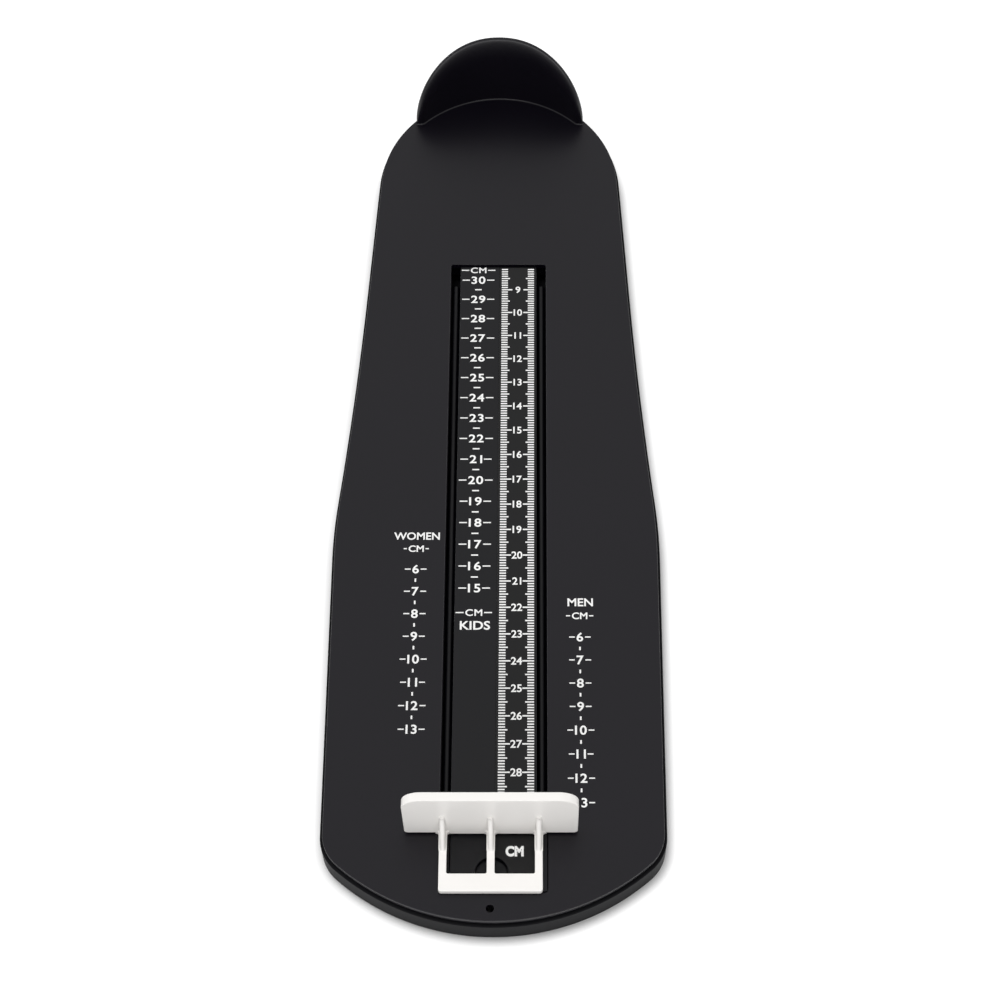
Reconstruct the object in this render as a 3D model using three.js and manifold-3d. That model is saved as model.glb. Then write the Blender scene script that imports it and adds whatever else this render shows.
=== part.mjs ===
// Foot measuring device. A flat body of two shells carries a heel cup at its back and a
// printed scale along its middle, and a toe stop slides over the scale in a channel.
// Millimetres, +Z up, toe end at -Y, heel end at +Y, +X to the right.
// The origin lies on the table, under the middle of the body.

import * as THREE from 'three';
import { mergeVertices } from 'three/addons/utils/BufferGeometryUtils.js';
import Module from 'manifold-3d';

const wasm = await Module();
wasm.setup();

// Body outline, seen from above
const bodyLength = 334;
const heelRadius = 45.3;
const heelFlareAngle = 3.5;
const waistHalfWidth = 53.9;
const waistY = 0;
const waistFlareAngle = 5.6;
const forefootHalfWidth = 56.5;
const forefootY = -36;
const toeHalfWidth = 56.1;
const noseRadius = 77.4;
const noseCornerRadius = 15;
const sideFullness = 0.4;

// Lower shell
const footStand = 0.8;
const trayFloor = 2.0;
const trayWall = 2.4;
const rimTop = 11.0;
const rimCorner = 0.4;
const bottomChamfer = 0.5;
const crossRibCount = 6;
const crossRibThickness = 1.4;
const carrierThickness = 1.5;

// Upper shell
const shadowGap = 0.8;
const deckThickness = 2.5;
const deckEdgeRadius = 1.2;
const skirtInset = 0.9;
const tongueThickness = 1.4;
const tongueDepth = 3.8;

// Channel, scale and ruler
const channelFromNose = 10.5;
const channelFromHeel = 81.7;
const channelCorner = 1.0;
const scaleWidth = 28.0;
const scaleDrop = 1.3;
const scaleSkin = 2.2;
const scaleWall = 1.6;
const grooveWidth = 3.4;
const trackHeight = 2.5;
const trackFloor = 1.8;
const trackRibThickness = 1.6;
const trackOverlap = 2.4;
const endNotch = 6.5;
const stripWidth = 12.8;
const stripThickness = 0.5;
const stripProud = 0.2;
const stripMargin = 0.7;
const thumbRecessRadius = 5.4;
const thumbRecessDepth = 1.2;
const thumbRecessX = -0.5;
const thumbRecessFromEnd = 6.8;

// Heel cup
const cupInset = 1.5;
const cupThickness = 2.7;
const cupDepth = 16.5;
const cupHeight = 32.9;
const cupCrestInset = 1.1;
const cupCurve = 2.3;
const cupFootThickness = 2.0;
const cupFootReach = 14.5;

// Toe stop
const stopWallWidth = 55.9;
const stopWallThickness = 3.1;
const stopWallHeight = 29.0;
const stopTopCorner = 6.5;
const stopBottomCorner = 1.4;
const stopFrameLength = 23.6;
const stopFrameHeight = 2.7;
const stopFrameCorner = 1.0;
const stopOverhang = 1.1;
const stopPlay = 0.8;
const stopBar = 2.8;
const stopEndBar = 7.2;
const windowCorner = 1.0;
const gussetThickness = 1.6;
const gussetHeight = 15.2;
const gussetReach = 7.0;
const bladeSetback = 0.2;
const hookReach = 2.4;
const hookLength = 6.5;
const hookRoom = 1.1;

// Screws, with each pair's place as a share of the body length and a distance in from its side
const screwShankRadius = 1.3;
const screwHeadRadius = 2.8;
const screwHeadHeight = 1.8;
const screwHeadBevel = 0.8;
const screwTip = 1.2;
const headDepth = 3.6;
const headRoom = 0.5;
const bossWall = 1.5;
const bossShelf = 1.6;
const pillarRadius = 3.4;
const deckSkin = 2.0;
const cupFootSkin = 1.0;
const caseScrewShares = [0.853, 0.65, 0.41, 0.155, 0.048];
const caseScrewInsets = [12, 12, 12, 12, 19];
const cupScrewInset = 8.1;
const cupScrewAngles = [-36, 0, 36];

// Rubber feet, placed as the screws are, and the hole to hang the device by
const footRadius = 6.0;
const footRecess = 1.0;
const footBevel = 0.4;
const footShares = [0.892, 0.53, 0.099];
const footInsets = [20, 13, 20];
const hangHoleRadius = 1.25;
const hangHoleFromNose = 5.2;
const hangSleeveWall = 1.0;

// Clearance between neighbours, and around the ruler strip, and how far a cut runs past a face
const gap = 0.3;
const stripGap = 0.2;
const cutPast = 1.0;

// Facets
const arcStep = 7.5;
const edgeTurns = [0, 30, 60, 90];
const curveSteps = 6;
const holeSides = 14;
const discSides = 24;
const cupSides = 72;
const samePoint = 0.001;

// Levels, from the table up
const trayBottom = footStand;
const floorTop = trayBottom + trayFloor;
const footTop = trayBottom + footRecess;
const headSeat = trayBottom + headDepth;
const bossTop = headSeat + bossShelf;
const deckUnder = rimTop + shadowGap;
const deckTop = deckUnder + deckThickness;
const above = deckTop + cutPast;
const scaleTop = deckTop - scaleDrop;
const trackTop = deckUnder - trackHeight;
const trackUnder = trackTop - trackFloor;
const cupFootTop = deckUnder - gap;
const cupFootUnder = cupFootTop - cupFootThickness;
const cupTop = deckTop + cupHeight;
const stopUnder = deckTop + gap;
const stopFrameTop = deckTop + stopFrameHeight;

// Places along and across the body
const noseY = -bodyLength / 2;
const heelY = bodyLength / 2;
const heelCentreY = heelY - heelRadius;
const noseCentreY = noseY + noseRadius;
const tongueInset = trayWall + gap;
const channelNearY = noseY + channelFromNose;
const channelFarY = heelY - channelFromHeel;
const scaleNearY = channelNearY + gap;
const scaleFarY = channelFarY - gap;
const scaleHalf = scaleWidth / 2;
const channelHalf = scaleHalf + grooveWidth;
const stopFrameHalf = channelHalf - stopPlay;
const stopSideways = gap - stopPlay;
const bladeThickness = grooveWidth - 2 * stopPlay;
const trackHalf = stopFrameHalf + hookReach - stopSideways + hookRoom;
const stripRight = scaleHalf - stripMargin;
const stripLeft = stripRight - stripWidth;
const stopNearY = channelNearY - stopOverhang;
const stopBackY = stopNearY + stopFrameLength;
const cupOuterRadius = heelRadius - cupInset;
const cupInnerRadius = cupOuterRadius - cupThickness;
const cupFrontY = heelY - cupDepth;
const cupFootY = cupFrontY - cupFootReach;
const cupHalfWidth = Math.sqrt(cupOuterRadius ** 2 - (cupFrontY - heelCentreY) ** 2) - cupCrestInset;
const hangHoleY = noseY + hangHoleFromNose;

const degrees = (angle) => (angle * Math.PI) / 180;

// One closed solid from a three.js geometry
function solid(geometry) {
  const bare = geometry.clone();
  bare.deleteAttribute('normal');
  bare.deleteAttribute('uv');
  const merged = mergeVertices(bare);
  return new wasm.Manifold(new wasm.Mesh({
    numProp: 3,
    vertProperties: new Float32Array(merged.attributes.position.array),
    triVerts: new Uint32Array(merged.index.array),
  }));
}

function joined(solids) {
  return solids.reduce((whole, piece) => whole.add(piece));
}

function cut(body, tools) {
  return tools.reduce((rest, tool) => rest.subtract(tool), body);
}

// A box between two corners
function block(low, high) {
  const size = high.map((value, axis) => value - low[axis]);
  const middle = high.map((value, axis) => (value + low[axis]) / 2);
  return solid(new THREE.BoxGeometry(...size).translate(...middle));
}

// An upright round bar or hole
function rod(x, y, radius, bottom, top, sides = holeSides) {
  const bar = new THREE.CylinderGeometry(radius, radius, top - bottom, sides);
  return solid(bar.rotateX(Math.PI / 2).translate(x, y, (top + bottom) / 2));
}

// A closed solid through level rings of equally many points, lowest ring first
function loft(rings) {
  const count = rings[0].points.length;
  const positions = rings.flatMap(({ points, z }) => points.flatMap((point) => [point.x, point.y, z]));
  const faces = [];
  for (let level = 0; level + 1 < rings.length; level += 1) {
    for (let index = 0; index < count; index += 1) {
      const next = (index + 1) % count;
      const low = level * count;
      const high = low + count;
      faces.push(low + index, low + next, high + next, low + index, high + next, high + index);
    }
  }
  const lid = (rings.length - 1) * count;
  THREE.ShapeUtils.triangulateShape(rings[0].points, []).forEach(([a, b, c]) => faces.push(c, b, a));
  THREE.ShapeUtils.triangulateShape(rings.at(-1).points, []).forEach(([a, b, c]) => {
    faces.push(lid + a, lid + b, lid + c);
  });
  const geometry = new THREE.BufferGeometry();
  geometry.setAttribute('position', new THREE.Float32BufferAttribute(positions, 3));
  geometry.setIndex(faces);
  return solid(geometry);
}

function slab(points, bottom, top) {
  return loft([{ points, z: bottom }, { points, z: top }]);
}

// Points along one curve, closer together where it turns
function curvePoints(curve) {
  if (curve.isEllipseCurve) {
    const turn = Math.abs(curve.aEndAngle - curve.aStartAngle);
    return curve.getPoints(Math.max(2, Math.round(turn / degrees(arcStep))));
  }
  return curve.getPoints(curve.isLineCurve ? 1 : curveSteps);
}

function pathPoints(path) {
  const points = path.curves.flatMap(curvePoints);
  return points.filter((point, index) => {
    const before = points[(index + points.length - 1) % points.length];
    return point.distanceTo(before) > samePoint;
  });
}

// Right half of the body outline, from the back of the heel to the tip of the nose
function outlineHalf() {
  const heelTurn = degrees(heelFlareAngle);
  const waistTurn = degrees(waistFlareAngle);
  const heelEnd = new THREE.Vector2(
    heelRadius * Math.cos(heelTurn),
    heelCentreY + heelRadius * Math.sin(heelTurn),
  );
  const flare = (heelEnd.y - waistY) * sideFullness;
  const round = (waistY - forefootY) * sideFullness;
  const cornerX = toeHalfWidth - noseCornerRadius;
  const cornerSweep = Math.acos(cornerX / (noseRadius - noseCornerRadius));
  const cornerY = noseCentreY - (noseRadius - noseCornerRadius) * Math.sin(cornerSweep);
  const half = new THREE.Path();
  half.absarc(0, heelCentreY, heelRadius, Math.PI / 2, heelTurn, true);
  half.bezierCurveTo(
    heelEnd.x + flare * Math.tan(heelTurn), heelEnd.y - flare,
    waistHalfWidth - flare * Math.tan(waistTurn), waistY + flare,
    waistHalfWidth, waistY,
  );
  half.bezierCurveTo(
    waistHalfWidth + round * Math.tan(waistTurn), waistY - round,
    forefootHalfWidth, forefootY + round,
    forefootHalfWidth, forefootY,
  );
  half.lineTo(toeHalfWidth, cornerY);
  half.absarc(cornerX, cornerY, noseCornerRadius, 0, -cornerSweep, true);
  half.absarc(0, noseCentreY, noseRadius, -cornerSweep, -Math.PI / 2, true);
  return pathPoints(half);
}

// The whole outline, counterclockwise
function bodyOutline() {
  const right = outlineHalf();
  const left = right.slice(1, -1).map((point) => new THREE.Vector2(-point.x, point.y));
  return [...right].reverse().concat(left);
}

// The outline moved inwards by the same distance everywhere
function insetOutline(points, inset) {
  return points.map((point, index) => {
    const before = points[(index + points.length - 1) % points.length];
    const after = points[(index + 1) % points.length];
    const inwardsA = point.clone().sub(before).normalize().rotateAround(new THREE.Vector2(), Math.PI / 2);
    const inwardsB = after.clone().sub(point).normalize().rotateAround(new THREE.Vector2(), Math.PI / 2);
    const mitre = inwardsA.clone().add(inwardsB).normalize();
    return point.clone().addScaledVector(mitre, inset / mitre.dot(inwardsA));
  });
}

const outline = bodyOutline();

function insetSlab(inset, bottom, top) {
  return slab(insetOutline(outline, inset), bottom, top);
}

// A rectangle with round corners, counterclockwise, as points
function roundedRectangle(x0, x1, y0, y1, bottomCorner, topCorner = bottomCorner) {
  const path = new THREE.Path();
  path.absarc(x1 - bottomCorner, y0 + bottomCorner, bottomCorner, -Math.PI / 2, 0);
  path.absarc(x1 - topCorner, y1 - topCorner, topCorner, 0, Math.PI / 2);
  path.absarc(x0 + topCorner, y1 - topCorner, topCorner, Math.PI / 2, Math.PI);
  path.absarc(x0 + bottomCorner, y0 + bottomCorner, bottomCorner, Math.PI, Math.PI * 1.5);
  path.closePath();
  return pathPoints(path);
}

// Half the width of the body at one place along it
const rightSide = outlineHalf();

function halfWidthAt(y) {
  const after = rightSide.findIndex((point) => point.y < y);
  const high = rightSide[after - 1];
  const low = rightSide[after];
  return low.x + ((high.x - low.x) * (y - low.y)) / (high.y - low.y);
}

// Places to the left and right, from shares of the length and distances in from the side
function pairedPlaces(shares, insets) {
  return shares.flatMap((share, index) => {
    const y = noseY + share * bodyLength;
    const x = halfWidthAt(y) - insets[index];
    return [[-x, y], [x, y]];
  });
}

const caseScrewPlaces = pairedPlaces(caseScrewShares, caseScrewInsets);
const footPlaces = pairedPlaces(footShares, footInsets);
const cupScrewPlaces = cupScrewAngles.map((angle) => [
  (cupInnerRadius - cupScrewInset) * Math.sin(degrees(angle)),
  heelCentreY + (cupInnerRadius - cupScrewInset) * Math.cos(degrees(angle)),
]);
const crossRibYs = Array.from({ length: crossRibCount }, (_, index) => (
  channelNearY + ((cupFootY - channelNearY) * (index + 1)) / (crossRibCount + 1)
));

// Lower shell: floor, rim wall, ribs under the scale and a boss for each screw
function baseTray() {
  const ring = (inset, z) => ({ points: insetOutline(outline, inset), z });
  const shell = loft([
    ring(bottomChamfer, trayBottom),
    ring(0, trayBottom + bottomChamfer),
    ring(0, rimTop - rimCorner),
    ring(rimCorner, rimTop),
  ]).subtract(insetSlab(trayWall, floorTop, above));

  const ribFoot = floorTop - gap;
  const ribInside = insetSlab(trayWall / 2, trayBottom, rimTop);
  const crossRibs = crossRibYs.map((y) => block(
    [-forefootHalfWidth, y - crossRibThickness / 2, ribFoot],
    [forefootHalfWidth, y + crossRibThickness / 2, bossTop - gap],
  ).intersect(ribInside));

  const half = carrierThickness / 2;
  const carrier = (x, near, far, top) => block([x - half, near, ribFoot], [x + half, far, top]);
  const outerCarrierX = channelHalf + carrierThickness;
  const innerCarrierX = scaleHalf - scaleWall / 2;
  const carriers = [-1, 1].flatMap((side) => [innerCarrierX, outerCarrierX].map((x) => carrier(
    side * x,
    channelNearY - trackOverlap / 2,
    channelFarY + trackOverlap / 2,
    trackUnder,
  )));
  const keel = carrier(0, scaleNearY + scaleWall + gap, scaleFarY - scaleWall - gap, scaleTop - scaleSkin);

  const screwPlaces = [...caseScrewPlaces, ...cupScrewPlaces];
  const headHole = screwHeadRadius + headRoom;
  const bosses = screwPlaces.map(([x, y]) => rod(x, y, headHole + bossWall, ribFoot, bossTop));
  const headHoles = screwPlaces.map(([x, y]) => rod(x, y, headHole, 0, headSeat));
  const shankHoles = screwPlaces.map(([x, y]) => rod(x, y, screwShankRadius + gap, 0, above));
  const footPockets = footPlaces.map(([x, y]) => rod(x, y, footRadius + gap, 0, footTop, discSides));
  const hangHole = rod(0, hangHoleY, hangHoleRadius + gap, 0, above);

  const whole = joined([shell, ...crossRibs, ...carriers, keel, ...bosses]);
  return cut(whole, [...headHoles, ...shankHoles, ...footPockets, hangHole]);
}

// Upper shell: deck with a rounded edge, tongue inside the rim, ribs and screw pillars
function topDeck() {
  const ring = (inset, z) => ({ points: insetOutline(outline, inset), z });
  const edge = edgeTurns.map((turn) => ring(
    skirtInset + deckEdgeRadius * (1 - Math.cos(degrees(turn))),
    deckTop - deckEdgeRadius * (1 - Math.sin(degrees(turn))),
  ));
  const plate = loft([ring(skirtInset, deckUnder), ...edge]);
  const sunk = deckUnder + gap;
  const cupRoom = block([-heelRadius, cupFootY - gap, 0], [heelRadius, heelY, deckUnder]);
  const pocket = insetSlab(tongueInset + tongueThickness, 0, deckUnder);
  const tongue = cut(insetSlab(tongueInset, deckUnder - tongueDepth, sunk), [pocket, cupRoom]);

  const trackRibs = [-1, 1].map((side) => {
    const inner = side * trackHalf;
    const outer = side * (trackHalf + trackRibThickness);
    return block(
      [Math.min(inner, outer), channelNearY - trackOverlap, trackTop],
      [Math.max(inner, outer), channelFarY + trackOverlap, sunk],
    );
  });
  const ribInside = insetSlab(tongueInset + tongueThickness / 2, 0, deckTop);
  const deckRibs = crossRibYs.flatMap((y) => [-1, 1].map((side) => {
    const near = side * (trackHalf + trackRibThickness / 2);
    const far = side * forefootHalfWidth;
    return block(
      [Math.min(near, far), y - crossRibThickness / 2, trackTop + gap],
      [Math.max(near, far), y + crossRibThickness / 2, sunk],
    ).intersect(ribInside);
  }));
  const pillars = caseScrewPlaces.map(([x, y]) => rod(x, y, pillarRadius, bossTop, sunk));
  const sleeve = rod(0, hangHoleY, hangHoleRadius + hangSleeveWall, floorTop + gap, sunk);

  const cupNotch = block(
    [-forefootHalfWidth, cupFrontY - gap, 0],
    [forefootHalfWidth, heelY, above],
  ).subtract(rod(0, heelCentreY, cupInnerRadius - gap, 0, above, cupSides));
  const channel = slab(
    roundedRectangle(-channelHalf, channelHalf, channelNearY, channelFarY, channelCorner),
    0,
    above,
  );
  const pilots = caseScrewPlaces.map(([x, y]) => rod(x, y, screwShankRadius + gap, 0, deckTop - deckSkin));
  const hangHole = rod(0, hangHoleY, hangHoleRadius, 0, above);

  const whole = joined([plate, tongue, ...trackRibs, ...deckRibs, ...pillars, sleeve]);
  return cut(whole, [cupNotch, channel, ...pilots, hangHole]);
}

// The cup's crest seen from the front: a curve that falls from the middle to both ends
function cupCrest() {
  const steps = 2 * Math.round(90 / arcStep);
  const points = [new THREE.Vector2(-cupHalfWidth, 0), new THREE.Vector2(cupHalfWidth, 0)];
  for (let index = 0; index <= steps; index += 1) {
    const turn = (Math.PI * index) / steps;
    const across = Math.sign(Math.cos(turn)) * Math.abs(Math.cos(turn)) ** (2 / cupCurve);
    const up = Math.max(0, Math.sin(turn)) ** (2 / cupCurve);
    points.push(new THREE.Vector2(cupHalfWidth * across, scaleTop + (cupTop - scaleTop) * up));
  }
  const through = { depth: bodyLength, bevelEnabled: false };
  const sheet = new THREE.ExtrudeGeometry(new THREE.Shape(points), through);
  return solid(sheet.rotateX(Math.PI / 2).translate(0, bodyLength, 0));
}

// Heel cup: an upright curved wall, and a foot that the deck holds down
function heelCup() {
  const crest = cupCrest();
  const aboveCup = above + cupHeight;
  const hollow = rod(0, heelCentreY, cupInnerRadius, 0, aboveCup, cupSides);
  const front = block([-heelRadius, noseY, 0], [heelRadius, cupFrontY, aboveCup]);
  const wall = (radius, bottom, top) => cut(
    rod(0, heelCentreY, radius, bottom, top, cupSides),
    [hollow, front],
  ).intersect(crest);
  const upper = wall(cupOuterRadius, deckUnder, aboveCup);
  const lower = wall(heelRadius - tongueInset, cupFootUnder, deckUnder + gap);
  const footFront = block([-heelRadius, cupFootY, 0], [heelRadius, heelY, above]);
  const foot = insetSlab(tongueInset, cupFootUnder, cupFootTop).intersect(footFront);
  const pillars = cupScrewPlaces.map(([x, y]) => rod(x, y, pillarRadius, bossTop, cupFootTop - gap));
  const pilotTop = cupFootTop - cupFootSkin;
  const pilots = cupScrewPlaces.map(([x, y]) => rod(x, y, screwShankRadius + gap, 0, pilotTop));
  return cut(joined([upper, lower, foot, ...pillars]), pilots);
}

function thumbRecess(bottom) {
  const y = channelNearY + thumbRecessFromEnd;
  return rod(thumbRecessX, y, thumbRecessRadius, bottom, above, discSides);
}

// Scale plate: the floor of the channel, with a sunk track for the toe stop on both sides
function scalePlate() {
  const flangeHalf = trackHalf + trackRibThickness + gap;
  const flange = block(
    [-flangeHalf, channelNearY - trackOverlap, trackUnder],
    [flangeHalf, channelFarY + trackOverlap, trackTop],
  );
  const table = block([-scaleHalf, scaleNearY, trackUnder], [scaleHalf, scaleFarY, scaleTop]);
  const hollow = block(
    [-scaleHalf + scaleWall, scaleNearY + scaleWall, 0],
    [scaleHalf - scaleWall, scaleFarY - scaleWall, scaleTop - scaleSkin],
  );
  const stripBed = block(
    [stripLeft - stripGap, scaleNearY + stripGap, scaleTop - stripThickness + stripProud],
    [stripRight + stripGap, scaleFarY - stripGap, above],
  );
  const notches = [-1, 1].map((side) => {
    const inner = side * scaleHalf;
    const outer = side * channelHalf;
    return block(
      [Math.min(inner, outer), channelFarY - endNotch, 0],
      [Math.max(inner, outer), channelFarY, above],
    );
  });
  return cut(flange.add(table), [hollow, stripBed, thumbRecess(scaleTop - thumbRecessDepth), ...notches]);
}

// Ruler strip: a thin printed insert in the right half of the scale plate
function rulerStrip() {
  const strip = block(
    [stripLeft, scaleNearY + 2 * stripGap, scaleTop - stripThickness + stripProud],
    [stripRight, scaleFarY - 2 * stripGap, scaleTop + stripProud],
  );
  return strip.subtract(thumbRecess(0));
}

// Toe stop: an upright wall on a frame with two windows, held by hooks under the deck
function toeStop() {
  const faceY = stopBackY - stopWallThickness;
  const sunk = stopUnder + gap;
  const wallShape = new THREE.Shape(roundedRectangle(
    -stopWallWidth / 2, stopWallWidth / 2,
    stopUnder, deckTop + stopWallHeight,
    stopBottomCorner, stopTopCorner,
  ));
  const wall = solid(
    new THREE.ExtrudeGeometry(wallShape, { depth: stopWallThickness, bevelEnabled: false })
      .rotateX(Math.PI / 2)
      .translate(0, stopBackY, 0),
  );
  const frame = slab(
    roundedRectangle(-stopFrameHalf, stopFrameHalf, stopNearY, stopBackY, stopFrameCorner),
    stopUnder,
    stopFrameTop,
  );
  const windows = [-1, 1].map((side) => {
    const inner = side * (stopBar / 2);
    const outer = side * (stopFrameHalf - stopBar);
    return slab(
      roundedRectangle(
        Math.min(inner, outer), Math.max(inner, outer),
        stopNearY + stopEndBar, faceY,
        windowCorner,
      ),
      0,
      above + stopFrameHeight,
    );
  });

  const gusset = new THREE.Shape([
    new THREE.Vector2(stopBackY - gap, sunk),
    new THREE.Vector2(stopBackY - gap, stopUnder + gussetHeight),
    new THREE.Vector2(faceY, stopUnder + gussetHeight),
    new THREE.Vector2(faceY - gussetReach, stopFrameTop),
    new THREE.Vector2(faceY - gussetReach, sunk),
  ]);
  const barX = stopFrameHalf - stopBar / 2;
  const gussets = [-barX, 0, barX].map((x) => solid(
    new THREE.ExtrudeGeometry(gusset, { depth: gussetThickness, bevelEnabled: false })
      .rotateX(Math.PI / 2)
      .rotateZ(Math.PI / 2)
      .translate(x - gussetThickness / 2, 0, 0),
  ));

  const bladeNearY = channelNearY + 2 * gap;
  const bladeFarY = stopBackY - bladeSetback;
  const bladeUnder = trackTop + gap;
  const blades = [-1, 1].flatMap((side) => {
    const outer = side * stopFrameHalf;
    const inner = side * (stopFrameHalf - bladeThickness);
    const tip = side * (stopFrameHalf + hookReach);
    const blade = block(
      [Math.min(inner, outer), bladeNearY, bladeUnder],
      [Math.max(inner, outer), bladeFarY, sunk],
    );
    const hooks = [bladeNearY, bladeFarY - hookLength].map((near) => block(
      [Math.min(inner, tip), near, bladeUnder],
      [Math.max(inner, tip), near + hookLength, deckUnder - gap],
    ));
    return [blade, ...hooks];
  });

  return joined([cut(frame, windows), wall, ...gussets, ...blades]).translate([stopSideways, 0, 0]);
}

// Self-tapping screw, head down, its seat at z = 0
function screwGeometry(length) {
  const profile = [
    [0, -screwHeadHeight],
    [screwHeadRadius - screwHeadBevel, -screwHeadHeight],
    [screwHeadRadius, screwHeadBevel - screwHeadHeight],
    [screwHeadRadius, 0],
    [screwShankRadius, 0],
    [screwShankRadius, length - screwTip],
    [0, length],
  ].map(([radius, height]) => new THREE.Vector2(radius, height));
  return new THREE.LatheGeometry(profile, holeSides).rotateX(Math.PI / 2);
}

// Rubber foot: a disc with a bevelled lower edge
function footGeometry() {
  const profile = [
    [0, 0],
    [footRadius - footBevel, 0],
    [footRadius, footBevel],
    [footRadius, footTop],
    [0, footTop],
  ].map(([radius, height]) => new THREE.Vector2(radius, height));
  return new THREE.LatheGeometry(profile, discSides).rotateX(Math.PI / 2);
}

const blackPlastic = new THREE.MeshStandardMaterial({ color: 0x2e2e30, roughness: 0.55, metalness: 0 });
const scalePlastic = new THREE.MeshStandardMaterial({ color: 0x29292b, roughness: 0.5, metalness: 0 });
const printedFilm = new THREE.MeshStandardMaterial({ color: 0x242426, roughness: 0.4, metalness: 0 });
const whitePlastic = new THREE.MeshStandardMaterial({ color: 0xf4f2ee, roughness: 0.4, metalness: 0 });
const zincSteel = new THREE.MeshStandardMaterial({ color: 0xb4b6b8, roughness: 0.35, metalness: 1 });
const rubber = new THREE.MeshStandardMaterial({ color: 0x1c1c1c, roughness: 0.9, metalness: 0 });

const device = new THREE.Group();

function addMesh(name, geometry, material) {
  const mesh = new THREE.Mesh(geometry, material);
  mesh.name = name;
  device.add(mesh);
  return mesh;
}

function addSolid(name, body, material) {
  const result = body.getMesh();
  const geometry = new THREE.BufferGeometry();
  geometry.setAttribute('position', new THREE.BufferAttribute(result.vertProperties, 3));
  geometry.setIndex(new THREE.BufferAttribute(result.triVerts, 1));
  return addMesh(name, geometry, material);
}

addSolid('base_tray', baseTray(), blackPlastic);
addSolid('top_deck', topDeck(), blackPlastic);
addSolid('heel_cup', heelCup(), blackPlastic);
addSolid('scale_plate', scalePlate(), scalePlastic);
addSolid('ruler_strip', rulerStrip(), printedFilm);
addSolid('toe_stop', toeStop(), whitePlastic);

const caseScrew = screwGeometry(deckTop - deckSkin - gap - headSeat);
caseScrewPlaces.forEach(([x, y], index) => {
  addMesh(`case_screw_${index + 1}`, caseScrew, zincSteel).position.set(x, y, headSeat);
});

const cupScrew = screwGeometry(cupFootTop - cupFootSkin - gap - headSeat);
cupScrewPlaces.forEach(([x, y], index) => {
  addMesh(`cup_screw_${index + 1}`, cupScrew, zincSteel).position.set(x, y, headSeat);
});

const foot = footGeometry();
footPlaces.forEach(([x, y], index) => {
  addMesh(`rubber_foot_${index + 1}`, foot, rubber).position.set(x, y, 0);
});

export default device;
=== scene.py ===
# Foot measuring device: a flat body of two shells with a heel cup at its back, a printed scale
# in a channel along its middle, and a white toe stop that slides over the scale.
# Everything is in metres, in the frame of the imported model: toe end at -Y, heel end at +Y.

import math

import bmesh
import bpy
from mathutils import Matrix, Vector


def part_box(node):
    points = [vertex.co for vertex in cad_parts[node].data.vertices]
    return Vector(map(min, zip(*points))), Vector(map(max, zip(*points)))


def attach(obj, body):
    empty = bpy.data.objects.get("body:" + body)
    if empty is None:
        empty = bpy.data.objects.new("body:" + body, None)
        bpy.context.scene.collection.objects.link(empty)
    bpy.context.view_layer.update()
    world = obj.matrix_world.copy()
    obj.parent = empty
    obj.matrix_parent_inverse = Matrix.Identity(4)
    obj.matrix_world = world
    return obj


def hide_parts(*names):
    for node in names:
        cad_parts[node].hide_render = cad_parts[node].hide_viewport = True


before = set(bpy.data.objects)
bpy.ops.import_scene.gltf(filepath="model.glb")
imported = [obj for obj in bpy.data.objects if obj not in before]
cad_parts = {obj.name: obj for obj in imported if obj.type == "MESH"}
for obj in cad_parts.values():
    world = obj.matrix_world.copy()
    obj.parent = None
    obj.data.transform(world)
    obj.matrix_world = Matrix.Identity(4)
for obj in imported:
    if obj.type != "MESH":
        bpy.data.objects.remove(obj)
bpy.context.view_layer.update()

# Camera, table and lamps
# The device lies on a white table in an even white surround, seen steeply from its toe end; a contact shadow
# is painted into the table's glow around it.
# One lamp high on its left throws the short shadow. Two low ones beside the heel and a long low one
# in front of the toe draw thin lights along the edges.
mm = 0.001
camera_place = Vector((12.7, -391.7, 695.2)) * mm
camera_pitch = 61.0
focal_pixels = 2237.5
frame_pixels = 1000
vanishing_column = 532.9

camera_data = bpy.data.cameras.new("camera")
camera_data.lens = camera_data.sensor_width * focal_pixels / frame_pixels
camera_data.shift_x = 0.5 - vanishing_column / frame_pixels
camera_data.clip_start = 0.01
camera = bpy.data.objects.new("camera", camera_data)
camera.location = camera_place
camera.rotation_euler = (math.radians(90 - camera_pitch), 0, 0)
bpy.context.collection.objects.link(camera)
bpy.context.scene.camera = camera
bpy.context.scene.view_settings.view_transform = "Standard"


def add_node(tree, kind, inputs=None, **settings):
    """A new node of a tree, with its properties set and its inputs set or linked."""
    node = tree.nodes.new(kind)
    for key, value in settings.items():
        setattr(node, key, value)
    for key, value in (inputs or {}).items():
        if isinstance(value, bpy.types.NodeSocket):
            tree.links.new(value, node.inputs[key])
        else:
            node.inputs[key].default_value = value
    return node


def maths(tree, operation, *values):
    """One step of arithmetic on numbers and sockets."""
    return add_node(tree, "ShaderNodeMath", dict(enumerate(values)), operation=operation).outputs[0]


def seen_directly(tree):
    """1 for what the camera sees, also in gloss and through glass, and 0 for light on surfaces."""
    path = add_node(tree, "ShaderNodeLightPath").outputs
    glossy = maths(tree, "MAXIMUM", path["Is Camera Ray"], path["Is Glossy Ray"])
    return maths(tree, "MAXIMUM", glossy, path["Is Transmission Ray"])


surround_level = 0.48
world = bpy.data.worlds.new("studio")
world.use_nodes = True
world_tree = world.node_tree
world_level = add_node(
    world_tree,
    "ShaderNodeMapRange",
    {"Value": seen_directly(world_tree), "To Min": surround_level, "To Max": 1.0},
)
world_tree.links.new(world_level.outputs[0], world_tree.nodes["Background"].inputs["Strength"])
world_tree.nodes["Background"].inputs["Color"].default_value = (1, 1, 1, 1)
bpy.context.scene.world = world

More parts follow.
